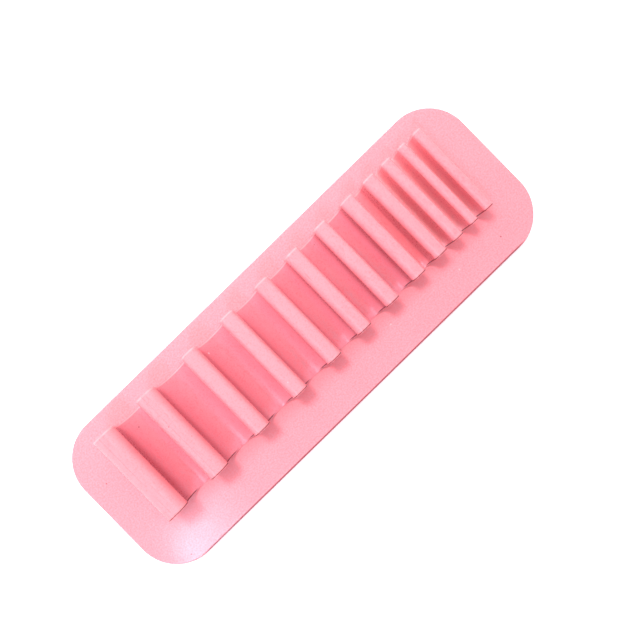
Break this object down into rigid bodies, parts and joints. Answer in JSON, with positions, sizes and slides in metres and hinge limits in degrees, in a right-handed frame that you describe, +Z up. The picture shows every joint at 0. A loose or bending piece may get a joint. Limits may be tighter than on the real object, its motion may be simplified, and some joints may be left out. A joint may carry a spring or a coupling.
{
  "type": "graded ridge silicone mould",
  "caption": "Flat rounded silicone sheet with an off-centre row of upright ridges, parted by round-bottomed grooves that narrow and get shallower from one end to the other.",
  "frame": {"origin": "centre of the sheet's flat underside", "axes": "+X along the sheet towards the fine-grooved end, +Y across the sheet towards the long edge that the ridges lie nearer, +Z up out of the ridged face"},
  "size_m": [0.25, 0.0834, 0.0228],
  "materials": {
    "silicone": "satin, translucent pink silicone rubber with a fine matt skin and slightly rounded edges"
  },
  "bodies": {
    "root": {"base_sheet": "silicone", "ridge_01": "silicone", "ridge_02": "silicone", "ridge_03": "silicone", "ridge_04": "silicone", "ridge_05": "silicone", "ridge_06": "silicone", "ridge_07": "silicone", "ridge_08": "silicone", "ridge_09": "silicone", "ridge_10": "silicone", "ridge_11": "silicone", "ridge_12": "silicone"}
  },
  "joints": []
}
